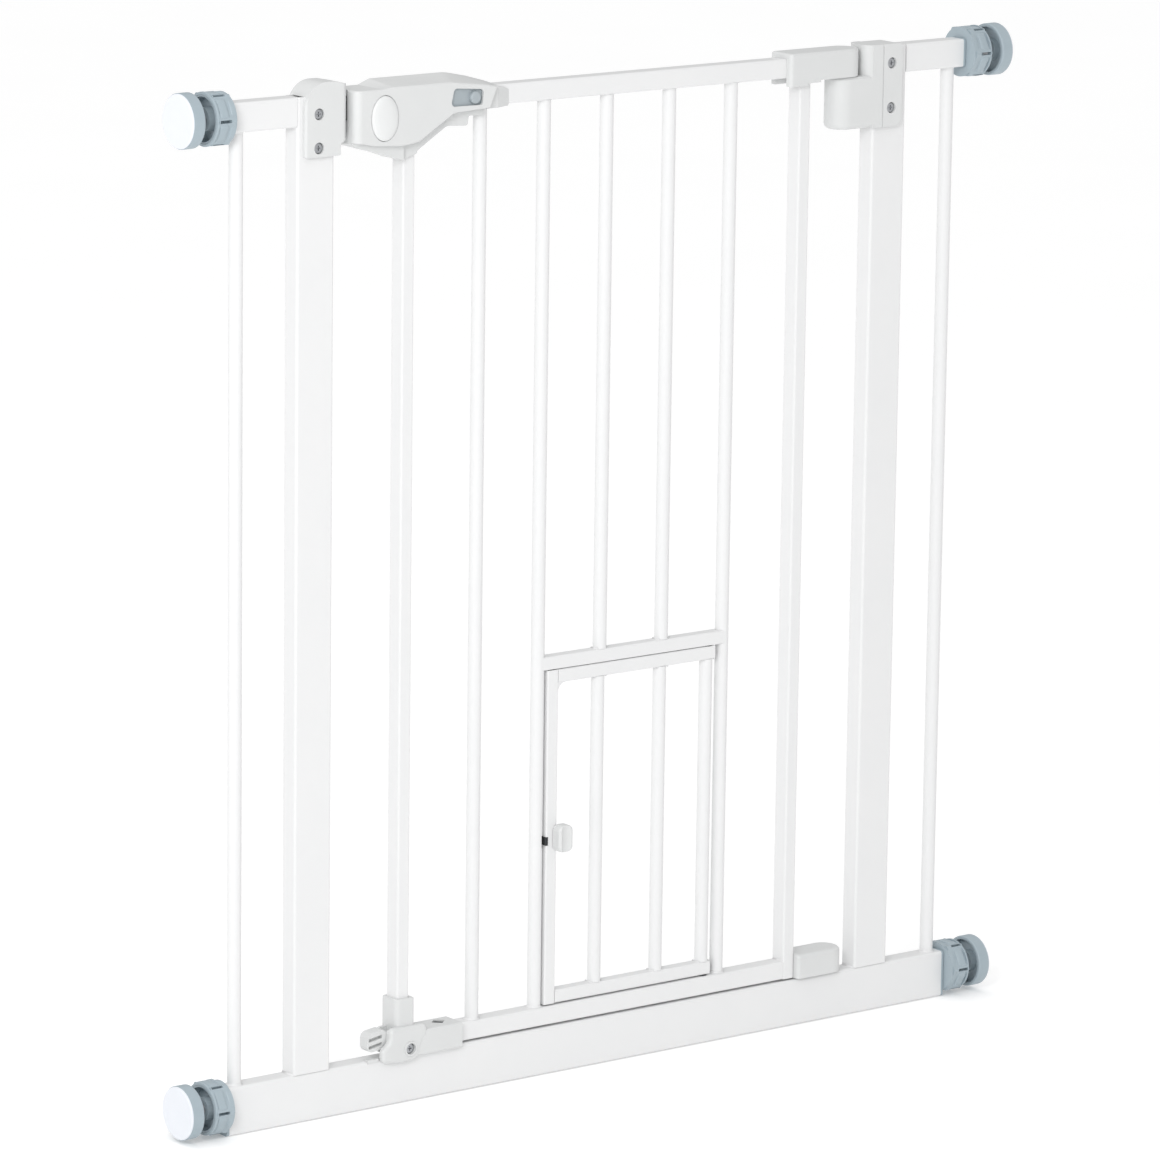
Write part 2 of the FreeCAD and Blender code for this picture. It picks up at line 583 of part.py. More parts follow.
def make_latch_rear_shell():
    outer = outlined(SHELL_OUTLINE, 0.0, HOUSING_STEP, HOUSING_BACK)
    outer = outer.common(below_top(0.0)).common(nose_side(0.0))
    front_space = outlined(COVER_OUTLINE, 0.02, HOUSING_STEP - 10, HOUSING_SPLIT)
    slanted_end = prism([(-107.0, HOUSING_STEP - 1, 0.0), (-107.0, HOUSING_STEP, 0.0),
                         (-93.0, -HALF_DOOR_D, 0.0), (-60.0, -HALF_DOOR_D, 0.0),
                         (-60.0, HOUSING_STEP - 1, 0.0)], "Z", 690.0, 770.0)
    cavity = outlined(SHELL_OUTLINE, -HOUSING_WALL, HOUSING_STEP + HOUSING_WALL,
                      HOUSING_BACK - HOUSING_WALL)
    cavity = cavity.common(below_top(HOUSING_WALL)).common(nose_side(HOUSING_WALL))
    cavity = cavity.common(box((-250.0, -119.0), (-30, 30), (680, 780)))
    recess = box((NECK_X[0], -116.0), (HOUSING_STEP - 1, HOUSING_RECESS), (690.0, 731.5))
    cavity = cavity.cut(box((NECK_X[0] - HOUSING_WALL, -110.0), (HOUSING_STEP, HOUSING_RECESS + HOUSING_WALL),
                            (680.0, 731.5)))
    shell = outer.cut([front_space, slanted_end, cavity, recess])
    seat = box((-214.0, -203.0), (-5.0, HOUSING_BACK - 1), (721.0, 729.0))
    posts = [rod("Y", (x, HALF_DOOR_D + 0.1, z), 4.9, HOUSING_BACK - HALF_DOOR_D - 0.2)
             for x, z in HOUSING_SCREWS]
    shell = fused(shell, seat, *posts).cut(housing_openings() + cover_bosses(0.05))
    for x, z in HOUSING_SCREWS:
        head = rod("Y", (x, HOUSING_BACK - 2.8, z), SCREW_HEAD_R + 0.3, 4.0)
        shell = shell.cut([head, rod("Y", (x, 0.0, z), SCREW_SHANK_R, 20.0)])
    return max(shell.Solids, key=lambda s: s.Volume)


def make_latch_front_cover():
    """Cover over the works, with the button's oval hole and the slider's window."""
    outer = outlined(COVER_OUTLINE, 0.0, HOUSING_FRONT, HOUSING_SPLIT)
    outer = outer.common(below_top(0.0)).common(nose_side(0.0))
    outer = softened(outer, 1.2, edge_at("y", HOUSING_FRONT))
    cavity = outlined(COVER_OUTLINE, -HOUSING_WALL, HOUSING_FRONT + HOUSING_WALL, HOUSING_SPLIT + 1)
    cavity = cavity.common(below_top(HOUSING_WALL)).common(nose_side(HOUSING_WALL))
    window = prism([(-152.5, 735.2, 3.0), (-124.3, 734.9, 2.0), (-123.4, 746.2, 3.0),
                    (-149.5, 748.4, 3.0)], "Y", HOUSING_FRONT - 1, HOUSING_FRONT + 3)
    hole = ellipse_prism(BUTTON_HALF_W + BUTTON_GAP, BUTTON_HALF_H + BUTTON_GAP,
                         (HOUSING_FRONT - 5, HOUSING_SPLIT - 2))
    cover = fused(outer.cut(cavity), *cover_bosses()).cut([window, hole] + housing_openings())
    for x, z in HOUSING_SCREWS:
        cover = cover.cut(rod("Y", (x, -9.5, z), SCREW_SHANK_R, 40.0))
    return max(cover.Solids, key=lambda s: s.Volume)


def make_housing_screws():
    """Two screws from the back that hold the housing's halves together."""
    screws = []
    for x, z in HOUSING_SCREWS:
        one = screw(x, z, 0.0, 21.0)
        one.rotate(Vec(x, 0, z), Vec(0, 0, 1), 180)
        one.translate(Vec(0, HOUSING_BACK - 0.6, 0))
        screws.append(one)
    return Part.makeCompound(screws)


def make_latch_bolt():
    """Tongue at the nose, a neck behind the button and a flat carrier in front of the rail."""
    tongue = prism(rect((BOLT_TIP_X, -217.0), BOLT_Z, 1.0), "Y", -BOLT_HALF_D, BOLT_HALF_D)
    tongue = softened(tongue, 0.8, edge_at("x", BOLT_TIP_X, 0.1))
    groove = box((BOLT_TIP_X - 1, -220.0), (-BOLT_HALF_D - 1, -BOLT_HALF_D + 0.8), (738.1, 739.1))
    neck = box((-217.5, -196.0), (-4.0, 4.0), (735.0, 747.0))
    jog = box((-200.0, -196.0), (-9.6, 4.0), (735.0, 747.0))
    carrier = box((-200.0, -122.5), (-9.6, -7.5), (735.6, 746.0))
    link = box((-134.0, -126.0), (-13.6, -7.5), (736.5, 745.5))
    return fused(tongue, neck, jog, carrier, link).cut(groove)


def make_thumb_slider():
    """Plate behind the window with a raised round nub."""
    plate = prism([(-157.5, 734.7, 1.0), (-121.8, 734.7, 1.0), (-121.8, 746.3, 1.0),
                   (-127.0, 747.0, 0.0), (-157.5, 749.3, 1.0)], "Y", -15.4, -13.6)
    nub = rod("Y", (NUB_X, HOUSING_FRONT - 1.0, NUB_Z), 4.5, 4.0)
    nub = softened(nub, 1.6, edge_at("y", HOUSING_FRONT - 1.0))
    return fused(plate, nub)


def make_latch_button():
    """Oval push button with a domed face and side tabs that keep it in the cover."""
    dome_r = 62.0
    body = ellipse_prism(BUTTON_HALF_W, BUTTON_HALF_H, (BUTTON_FRONT - 1, BUTTON_BACK))
    dome = Part.makeSphere(dome_r, Vec(BUTTON_X, BUTTON_FRONT + dome_r, BUTTON_Z))
    tabs = ellipse_prism(BUTTON_HALF_W + 1.2, BUTTON_HALF_H + 1.2, (-15.3, BUTTON_BACK))
    side = box((-230.0, -190.0), (-30.0, 0.0), (721.5, 741.5))
    return fused(body.common(dome), tabs.common(side))


def make_button_spring():
    """Coil between the button's back and its seat in the rear shell."""
    wire_r = 0.4
    coil_r = 2.8
    start = BUTTON_BACK + wire_r + 0.1
    end = -5.0 - wire_r - 0.1
    turns = 5.0
    helix = Part.makeHelix((end - start) / turns, end - start, coil_r)
    profile = Part.Wire(Part.makeCircle(wire_r, Vec(coil_r, 0, 0), Vec(0, 1, 0)))
    coil = Part.Wire(helix.Edges).makePipeShell([profile], True, True)
    coil.rotate(Vec(0, 0, 0), Vec(1, 0, 0), -90)
    coil.translate(Vec(BUTTON_X, start, 725.0))
    return coil


# ---- hinge fittings on the door --------------------------------------------------------------
def make_top_hinge_cap():
    """Cap over the door's hinge-side top corner, with a rounded knuckle over the barrel."""
    end_x = HINGE_X + KNUCKLE_R
    plan = [(CAP_LEFT, -KNUCKLE_R, 3.0), (end_x, -KNUCKLE_R, KNUCKLE_R - JOIN),
            (end_x, KNUCKLE_R, KNUCKLE_R - JOIN), (CAP_LEFT, KNUCKLE_R, 3.0)]
    arm = prism(plan, "Z", CAP_UNDERSIDE, CAP_TOP)
    arm = softened(arm, 2.0, edge_at("z", CAP_TOP))
    skirt = prism(rect((CAP_LEFT, 182.5), (-KNUCKLE_R, KNUCKLE_R), 3.0), "Z", 726.0, CAP_UNDERSIDE + 1)
    step = prism(rect((178.0, 193.0), (-KNUCKLE_R, KNUCKLE_R), 1.0), "Z", 727.8, CAP_UNDERSIDE + 1)
    half = HALF_DOOR_D + 0.05
    rail = box((CAP_LEFT - 1, DOOR_RIGHT + 1), (-half, half), (720.0, DOOR_TOP + 0.05))
    stile = box((DOOR_RIGHT - 0.05, HINGE_STILE_X + STILE_W / 2 + 0.05), (-half, half),
                (720.0, DOOR_TOP + 0.05))
    pin = rod("Z", (HINGE_X, 0, 720.0), PIN_R, 24.0)
    return fused(arm, skirt, step).cut([rail, stile, pin])


def make_hinge_pins():
    top = rod("Z", (HINGE_X, 0, 695.0), PIN_R, 49.0)
    bottom = rod("Z", (HINGE_X, 0, 26.0), PIN_R, 24.0)
    return Part.makeCompound([top, bottom])


def make_bottom_hinge_shoe():
    """Shoe on the door's hinge-side bottom corner that carries the lower pin."""
    end_x = HINGE_X + KNUCKLE_R
    start_x = HINGE_STILE_X + STILE_W / 2
    plan = [(start_x, -KNUCKLE_R, 3.0), (end_x, -KNUCKLE_R, KNUCKLE_R - JOIN),
            (end_x, KNUCKLE_R, KNUCKLE_R - JOIN), (start_x, KNUCKLE_R, 3.0)]
    body = prism(plan, "Z", SHOE_BOTTOM, SHOE_TOP)
    body = softened(body, 3.0, edge_at("z", SHOE_TOP))
    return body.cut(rod("Z", (HINGE_X, 0, SHOE_BOTTOM - 1), PIN_R, 50.0 - SHOE_BOTTOM + 1))


# ---- latch-side bottom corner ----------------------------------------------------------------
def make_corner_sleeve():
    """Sleeve round the door's bottom corner with a lip, a front block and cheeks for the tab."""
    half = SLEEVE_HALF_D
    base = DOOR_BOTTOM - 0.2
    upright = prism([(-188.8, -half, 4.0), (-172.2, -half, 2.0), (-172.2, half, 1.5),
                     (-188.8, half, 2.5)], "Z", base, SLEEVE_TOP)
    upright = softened(upright, 1.0, edge_at("z", SLEEVE_TOP))
    along = prism([(SLEEVE_FRONT, SLEEVE_LIP_Z, 1.5), (half, SLEEVE_LIP_Z, 0.0), (half, 53.8, 1.5),
                   (SLEEVE_FRONT, 53.8, 1.5)], "X", -180.0, SLEEVE_END_X)
    block = prism([(BLOCK_TOE_X, BLOCK_Z[0] + 2, 4.5), (-186.0, BLOCK_Z[0], 8.0),
                   (-170.5, BLOCK_Z[0] + 1, 7.0), (-167.0, 44.0, 6.0), (BLOCK_X[1], 51.0, 4.5),
                   (BLOCK_X[1], BLOCK_Z[1], 4.0), (BLOCK_X[0], BLOCK_Z[1], 4.0),
                   (BLOCK_X[0], 48.5, 8.0), (BLOCK_TOE_X, 43.0, 4.2)], "Y", BLOCK_FRONT, -half + 1)
    block = softened(block, 3.0, edge_at("y", BLOCK_FRONT))
    ring = rod("Y", (CORNER_SCREW[0], BLOCK_FRONT - 0.8, CORNER_SCREW[1]), SCREW_HEAD_R + 1.7, 2.0)
    side = prism([(BLOCK_X[0], base, 3.0), (-188.0, base, 0.0), (-188.0, BLOCK_Z[1] - 1, 0.0),
                  (BLOCK_X[0], 57.0, 2.0)], "Y", -half, 5.0)
    slot = box((-200.0, -188.8), (TAB_Y[0] - 0.3, TAB_Y[1] + 0.3), (30.0, 60.0))
    rail_clear = box((-210.0, SLEEVE_END_X + 1), (-HALF_RAIL_D - 0.4, 20.0), (20.0, base))
    inner = HALF_DOOR_D + 0.05
    stile = box((LATCH_STILE_X - STILE_W / 2 - 0.05, LATCH_STILE_X + STILE_W / 2 + 0.05),
                (-inner, inner), (20.0, SLEEVE_TOP + 1))
    rail = box((LATCH_STILE_X, SLEEVE_END_X + 1), (-inner, inner), (20.0, RAIL_TOP_Z + 0.05))
    pin = rod("Y", (TAB_PIN_X, BLOCK_FRONT + 1.9, TAB_PIN_Z), 1.5, 30.0)
    diamond = prism([(-149.5, 0.5, 0.5), (-143.5, -5.0, 0.5), (-137.5, 0.5, 0.5), (-143.5, 6.0, 0.5)],
                    "Z", RAIL_TOP_Z + 0.3, 60.0)
    body = fused(upright, along, block, side, ring)
    body = body.cut([slot, rail_clear, stile, rail, pin, diamond])
    body = max(body.Solids, key=lambda s: s.Volume)
    return body.cut(screw_hole(CORNER_SCREW[0], CORNER_SCREW[1], BLOCK_FRONT))


def make_release_tab():
    """Finger tab that tips about its pin; two grip slots run across its face."""
    y0, y1 = TAB_Y
    eye = rod("Y", (TAB_PIN_X, y0, TAB_PIN_Z), 3.2, y1 - y0)
    blade = prism([(-213.0, 41.2, 5.0), (-199.0, 43.6, 2.0), (TAB_PIN_X, TAB_PIN_Z - 3.2, 0.0),
                   (TAB_PIN_X, TAB_PIN_Z + 3.2, 0.0), (-199.0, 58.2, 4.0), (-213.0, 56.4, 5.0)],
                  "Y", y0, y1)
    body = fused(eye, blade)
    for rise in (0.0, 5.4):
        slot = prism([(-211.4, 44.4 + rise, 0.5), (-199.4, 46.4 + rise, 0.5),
                      (-199.4, 49.0 + rise, 0.5), (-211.4, 47.0 + rise, 0.5)], "Y", y0 - 1, y0 + 3.0)
        body = body.cut(slot)
    return body.cut(rod("Y", (TAB_PIN_X, y0 - 1, TAB_PIN_Z), 1.55, y1 - y0 + 2))


def make_release_tab_pin():
    start = BLOCK_FRONT + 2
    return rod("Y", (TAB_PIN_X, start, TAB_PIN_Z), 1.5, 5.0 - start)


# ---- pet door --------------------------------------------------------------------------------
PET_RIGHT = PET_HINGE_X + PET_TUBE / 2
PET_HALF = PET_TUBE / 2


def make_pet_rail(bottom, top):
    start = PET_LEFT + PET_TUBE
    tube = rect_tube("X", (-PET_HALF, PET_HALF), (bottom, top), start, PET_RIGHT, THIN_WALL, 1.2)
    return tube.cut(rod("Z", (PET_HINGE_X, 0, bottom - 1), PET_PIN_R, PET_TUBE + 2))


def make_pet_top_rail():
    """Top tube with the rounded inner corner it makes with the latch stile."""
    bottom = PET_TOP - PET_TUBE
    inner_x = PET_LEFT + PET_TUBE
    web = box((inner_x, inner_x + PET_CORNER_R), (-PET_HALF + 0.8, PET_HALF - 0.8),
              (bottom - PET_CORNER_R, bottom + 0.5))
    scoop = rod("Y", (inner_x + PET_CORNER_R, -PET_HALF - 1, bottom - PET_CORNER_R), PET_CORNER_R,
                PET_TUBE + 2)
    return fused(make_pet_rail(bottom, PET_TOP), web.cut(scoop))


def make_pet_bottom_rail():
    return make_pet_rail(PET_BOTTOM, PET_BOTTOM + PET_TUBE)


def make_pet_latch_stile():
    width = (PET_LEFT, PET_LEFT + PET_TUBE)
    tube = rect_tube("Z", width, (-PET_HALF, PET_HALF), PET_BOTTOM, PET_TOP, THIN_WALL, 1.2)
    z_range = (PET_BOLT_Z[0] - 0.05, PET_BOLT_Z[1] + 0.05)
    channel = box((PET_LEFT - 1, PET_LEFT + PET_TUBE + 1),
                  (PET_BOLT_Y[0] - 0.05, PET_BOLT_Y[1] + 0.05), z_range)
    notch = box((PET_LEFT - 1, PET_LEFT + 2.2), (-PET_HALF - 1, PET_BOLT_Y[0] + 0.3), z_range)
    return tube.cut([channel, notch])


def make_pet_bars(xs):
    heights = (PET_BOTTOM + PET_TUBE, PET_TOP - PET_TUBE)
    return Part.makeCompound([round_tube(x, heights, PET_TUBE) for x in xs])


def make_pet_hinge_pins():
    top = rod("Z", (PET_HINGE_X, 0, PET_TOP - PET_TUBE), PET_PIN_R, 16.0)
    bottom = rod("Z", (PET_HINGE_X, 0, 45.0), PET_PIN_R, PET_BOTTOM + PET_TUBE - 45.0)
    return Part.makeCompound([top, bottom])


def make_pet_hinge_washers():
    """Dark spacers between the pet door and the tubes above and below it."""
    rings = []
    for low, high in ((PET_TOP + 0.1, LINTEL_BOTTOM), (RAIL_TOP_Z, PET_BOTTOM - 0.1)):
        ring = rod("Z", (PET_HINGE_X, 0, low), 4.6, high - low)
        rings.append(ring.cut(rod("Z", (PET_HINGE_X, 0, low - 1), PET_PIN_R + PIN_CLEARANCE, 4)))
    return Part.makeCompound(rings)


def make_pet_latch_knob():
    """Thumb piece over the stile's front, with a web down its inner side that grips the bolt."""
    pad = prism(rect((-44.0, -31.0), (169.8, 190.2), 4.5), "Y", -14.0, -PET_HALF - 0.5)
    pad = softened(pad, 2.5, edge_at("y", -14.0))
    scoop = rod("Z", (-37.5, -20.6, 165.0), 8.0, 30.0)
    web = prism(rect((-35.0, -31.0), (173.0, 187.0), 1.0), "Y", -PET_HALF - 1, PET_HALF - 1)
    return fused(pad.cut(scoop), web).cut(box((-40.0, -32.4), PET_BOLT_Y, PET_BOLT_Z))


def make_pet_latch_bolt():
    """Flat dark tongue that crosses the stile; its side shows in the stile's notch."""
    tip = PET_LEFT - 0.4
    bolt = box((tip, tip + 18.0), PET_BOLT_Y, PET_BOLT_Z)
    return bolt.makeChamfer(0.6, [e for e in bolt.Edges if edge_at("x", tip)(e)])


# ---- everything by node name -----------------------------------------------------------------
def all_pieces():
    pieces = {
        "bottom_rail": make_bottom_rail(),
        "left_post": make_left_post(),
        "right_post": make_post(BRACKET_SCREW_X, BRACKET_SCREW_ZS),
        "left_top_rail": mirrored(make_top_rail()),
        "right_top_rail": make_top_rail(),
        "left_outer_bar": round_tube(-OUTER_BAR_X, (BOTTOM_RAIL_H, TOP_RAIL_BOTTOM)),
        "right_outer_bar": round_tube(OUTER_BAR_X, (BOTTOM_RAIL_H, TOP_RAIL_BOTTOM)),
        "rail_end_bushes": make_end_bushes(),
        "strike_block": make_strike_block(),
        "strike_screws": make_screws(-POST_X, STRIKE_SCREW_ZS, STRIKE_FRONT),
        "hinge_bracket": make_hinge_bracket(),
        "hinge_bracket_screws": make_screws(BRACKET_SCREW_X, BRACKET_SCREW_ZS, PLATE_FRONT),
        "hinge_socket": make_hinge_socket(),
        "stop_keeper": make_stop_keeper(),
        "door_top_rail": make_door_rail(TOP_RAIL_UNDERSIDE, DOOR_TOP),
        "door_bottom_rail": make_door_bottom_rail(),
        "latch_stile": make_latch_stile(),
        "hinge_stile": make_stile(HINGE_STILE_X),
        "door_bars": make_door_bars(),
        "pet_door_lintel": make_lintel(),
        "latch_front_cover": make_latch_front_cover(),
        "latch_rear_shell": make_latch_rear_shell(),
        "latch_housing_screws": make_housing_screws(),
        "latch_bolt": make_latch_bolt(),
        "thumb_slider": make_thumb_slider(),
        "latch_button": make_latch_button(),
        "button_spring": make_button_spring(),
        "top_hinge_cap": make_top_hinge_cap(),
        "door_hinge_pins": make_hinge_pins(),
        "bottom_hinge_shoe": make_bottom_hinge_shoe(),
        "corner_sleeve": make_corner_sleeve(),
        "corner_screw": make_screws(CORNER_SCREW[0], (CORNER_SCREW[1],), BLOCK_FRONT),
        "release_tab": make_release_tab(),
        "release_tab_pin": make_release_tab_pin(),
        "pet_top_rail": make_pet_top_rail(),
        "pet_bottom_rail": make_pet_bottom_rail(),
        "pet_latch_stile": make_pet_latch_stile(),
        "pet_hinge_stile": make_pet_bars((PET_HINGE_X,)),
        "pet_door_bars": make_pet_bars(PET_BAR_XS),
        "pet_hinge_pins": make_pet_hinge_pins(),
        "pet_hinge_washers": make_pet_hinge_washers(),
        "pet_latch_knob": make_pet_latch_knob(),
        "pet_latch_bolt": make_pet_latch_bolt(),
    }
    makers = {
        "spindle": make_spindle,
        "pad_cup": make_pad_cup,
        "pad_face": make_pad_face,
        "wheel_nut": make_wheel_nut,
    }
    for level, z in (("top", ROD_TOP_Z), ("bottom", ROD_BOTTOM_Z)):
        for name, maker in makers.items():
            right = maker(z)
            pieces[name + "_" + level + "_right"] = right
            pieces[name + "_" + level + "_left"] = mirrored(right)
    return pieces


os.makedirs("parts", exist_ok=True)
for node, piece in all_pieces().items():
    solids = piece.Solids
    if not solids or not all(s.isValid() for s in solids):
        raise ValueError(node + " is not a valid solid")
    shape = solids[0] if len(solids) == 1 else Part.makeCompound(solids)
    shape.exportStep("parts/" + node + ".step")
    print(node, len(solids), round(shape.Volume, 1))
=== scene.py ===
import json
import math
import random

import bmesh
import bpy
from mathutils import Matrix, Vector


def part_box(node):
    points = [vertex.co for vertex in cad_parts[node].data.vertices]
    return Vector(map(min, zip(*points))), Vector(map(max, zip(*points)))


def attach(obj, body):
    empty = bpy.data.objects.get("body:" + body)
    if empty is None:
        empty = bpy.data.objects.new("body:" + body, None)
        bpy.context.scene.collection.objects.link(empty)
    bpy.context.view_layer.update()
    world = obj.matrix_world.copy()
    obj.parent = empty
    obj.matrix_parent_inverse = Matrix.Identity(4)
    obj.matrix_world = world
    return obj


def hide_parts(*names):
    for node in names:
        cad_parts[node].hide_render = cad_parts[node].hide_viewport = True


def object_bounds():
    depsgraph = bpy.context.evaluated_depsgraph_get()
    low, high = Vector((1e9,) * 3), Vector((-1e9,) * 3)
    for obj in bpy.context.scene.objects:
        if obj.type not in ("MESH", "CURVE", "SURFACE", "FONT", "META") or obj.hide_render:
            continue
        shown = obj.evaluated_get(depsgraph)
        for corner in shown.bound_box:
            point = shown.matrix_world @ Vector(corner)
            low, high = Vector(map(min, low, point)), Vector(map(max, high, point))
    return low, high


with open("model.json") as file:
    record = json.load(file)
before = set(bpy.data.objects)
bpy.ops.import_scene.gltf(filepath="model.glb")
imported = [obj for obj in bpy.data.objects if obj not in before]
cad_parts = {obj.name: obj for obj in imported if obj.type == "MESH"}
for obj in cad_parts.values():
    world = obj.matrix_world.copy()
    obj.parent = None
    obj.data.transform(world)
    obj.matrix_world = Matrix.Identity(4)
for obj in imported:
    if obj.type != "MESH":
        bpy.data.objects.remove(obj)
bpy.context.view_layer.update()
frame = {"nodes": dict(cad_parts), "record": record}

NODES = frame["nodes"]
SIDES = ("top_left", "top_right", "bottom_left", "bottom_right")
MM = 0.001


# ---- node materials --------------------------------------------------------------------------
def new_material(name):
    """Empty node material with its tree and its Principled shader."""
    material = bpy.data.materials.new(name)
    material.use_nodes = True
    tree = material.node_tree
    shader = tree.nodes["Principled BSDF"]
    return material, tree, shader


def add(tree, kind, **values):
    """Adds a node and sets its sockets, or else its properties, by name."""
    node = tree.nodes.new(kind)
    for key, value in values.items():
        socket = key.replace("_", " ")
        if socket in node.inputs:
            node.inputs[socket].default_value = value
        else:
            setattr(node, key, value)
    return node


def object_coordinates(tree):
    return add(tree, "ShaderNodeTexCoord").outputs["Object"]


def noise(tree, scale, detail=3.0, roughness=0.5):
    node = add(tree, "ShaderNodeTexNoise", Scale=scale, Detail=detail, Roughness=roughness)
    tree.links.new(object_coordinates(tree), node.inputs["Vector"])
    return node.outputs["Fac"]


def spread(tree, value, low, high, start=0.0, end=1.0):
    """Maps a value from start..end to the range low..high."""
    node = add(tree, "ShaderNodeMapRange")
    for name, number in (("From Min", start), ("From Max", end), ("To Min", low), ("To Max", high)):
        node.inputs[name].default_value = number
    tree.links.new(value, node.inputs["Value"])
    return node.outputs["Result"]


def colour_between(tree, value, first, second):
    node = tree.nodes.new("ShaderNodeMix")
    node.data_type = "RGBA"
    node.inputs[6].default_value = (*first, 1.0)
    node.inputs[7].default_value = (*second, 1.0)
    tree.links.new(value, node.inputs[0])
    return node.outputs[2]


def bump(tree, shader, heights, strength, distance):
    node = add(tree, "ShaderNodeBump", Strength=strength, Distance=distance)
    tree.links.new(heights, node.inputs["Height"])
    tree.links.new(node.outputs["Normal"], shader.inputs["Normal"])


def powder_coat():
    """White powder coat: a fine orange peel, slightly cloudy gloss."""
    material, tree, shader = new_material("powder_coat_white")
    cloud = noise(tree, 22.0, 4.0, 0.6)
    tint = colour_between(tree, cloud, (0.735, 0.74, 0.745), (0.77, 0.77, 0.77))
    tree.links.new(tint, shader.inputs["Base Color"])
    tree.links.new(spread(tree, cloud, 0.32, 0.44), shader.inputs["Roughness"])
    bump(tree, shader, noise(tree, 900.0, 2.0), 0.12, 0.0004)
    shader.inputs["Coat Weight"].default_value = 0.2
    shader.inputs["Coat Roughness"].default_value = 0.2
    return material


def moulded_plastic(name, dark, light, rough_low, rough_high, grain=0.1):
    """Injection-moulded plastic: even colour with faint flow marks and a spark-eroded grain."""
    material, tree, shader = new_material(name)
    flow = noise(tree, 35.0, 5.0, 0.55)
    tree.links.new(colour_between(tree, flow, dark, light), shader.inputs["Base Color"])
    tree.links.new(spread(tree, flow, rough_low, rough_high), shader.inputs["Roughness"])
    bump(tree, shader, noise(tree, 2600.0, 2.0), grain, 0.0002)
    return material


def plated_steel():
    """Zinc-plated steel with fine drawn scratches."""
    material, tree, shader = new_material("zinc_plated_steel")
    patch = noise(tree, 120.0, 4.0, 0.6)
    tree.links.new(colour_between(tree, patch, (0.34, 0.35, 0.365), (0.48, 0.49, 0.51)),
                   shader.inputs["Base Color"])
    tree.links.new(spread(tree, patch, 0.24, 0.42), shader.inputs["Roughness"])
    bump(tree, shader, noise(tree, 1500.0, 2.0), 0.15, 0.0002)
    shader.inputs["Metallic"].default_value = 1.0
    return material


def soft_pad():
    """Pale, slightly dusty rubber."""
    material, tree, shader = new_material("pale_rubber")
    dust = noise(tree, 60.0, 5.0, 0.65)
    tree.links.new(colour_between(tree, dust, (0.72, 0.745, 0.79), (0.77, 0.79, 0.83)),
                   shader.inputs["Base Color"])
    tree.links.new(spread(tree, dust, 0.6, 0.8), shader.inputs["Roughness"])
    bump(tree, shader, noise(tree, 1800.0, 3.0), 0.2, 0.0003)
    return material


POWDER = powder_coat()
WHITE = moulded_plastic("white_plastic", (0.63, 0.64, 0.64), (0.67, 0.677, 0.675), 0.34, 0.46)
GREY = moulded_plastic("blue_grey_plastic", (0.32, 0.385, 0.425), (0.37, 0.44, 0.48), 0.38, 0.5)
DARK = moulded_plastic("dark_plastic", (0.012, 0.014, 0.017), (0.022, 0.024, 0.028), 0.3, 0.45)
SLIDER = moulded_plastic("slider_plastic", (0.33, 0.375, 0.40), (0.39, 0.435, 0.46), 0.3, 0.4)
GLOSS_WHITE = moulded_plastic("button_plastic", (0.70, 0.71, 0.71), (0.73, 0.737, 0.735), 0.28, 0.38)
STEEL = plated_steel()
PAD = soft_pad()
BY_SLOT = {
    "powder_coat": POWDER,
    "white_plastic": WHITE,
    "grey_plastic": GREY,
    "dark_plastic": DARK,
    "slider_plastic": SLIDER,
    "steel": STEEL,
    "pad_rubber": PAD,
}
SLOT_OF = {part["node"]: part["material_slot"] for part in frame["record"]["subparts"]}


def paint(obj, material):
    obj.data.materials.clear()
    obj.data.materials.append(material)


# ---- CAD nodes: finish and softened edges ----------------------------------------------------
EDGE_WIDTHS = {
    "powder_coat": 0.35 * MM,
    "white_plastic": 0.6 * MM,
    "grey_plastic": 0.7 * MM,
    "dark_plastic": 0.3 * MM,
    "slider_plastic": 0.3 * MM,
    "steel": 0.15 * MM,
    "pad_rubber": 0.3 * MM,
}


def round_edges(obj, width, segments=3):
    """Softens the sharp edges that a moulded or bent piece doesn't have."""
    modifier = obj.modifiers.new("edge_softening", "BEVEL")
    modifier.width = width
    modifier.segments = segments
    modifier.limit_method = "ANGLE"
    modifier.angle_limit = math.radians(38)
    obj.modifiers.new("even_shading", "WEIGHTED_NORMAL").keep_sharp = True
    obj.data.shade_smooth()


for node, material_slot in SLOT_OF.items():
    paint(NODES[node], BY_SLOT[material_slot])
    if node != "button_spring":
        round_edges(NODES[node], EDGE_WIDTHS[material_slot])


# ---- mesh helpers ----------------------------------------------------------------------------
def new_piece(name, bm, body, material_slot, replaced=()):
    """Finishes a bmesh as a piece that rides on a body."""
    bmesh.ops.recalc_face_normals(bm, faces=bm.faces)
    mesh = bpy.data.meshes.new(name)
    bm.to_mesh(mesh)
    bm.free()
    mesh.shade_smooth()
    obj = bpy.data.objects.new(name, mesh)
    bpy.context.collection.objects.link(obj)
    paint(obj, BY_SLOT[material_slot])
    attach(obj, body)
    if replaced:
        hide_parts(*replaced)
    return obj


def skin_rings(bm, rings):
    """Skins a row of rings with quads and closes both ends."""
    rows = [[bm.verts.new(p) for p in ring] for ring in rings]
    count = len(rows[0])
    for a, b in zip(rows, rows[1:]):
        for i in range(count):
            j = (i + 1) % count
            bm.faces.new((a[i], a[j], b[j], b[i]))
    bm.faces.new(list(reversed(rows[0])))
    bm.faces.new(rows[-1])


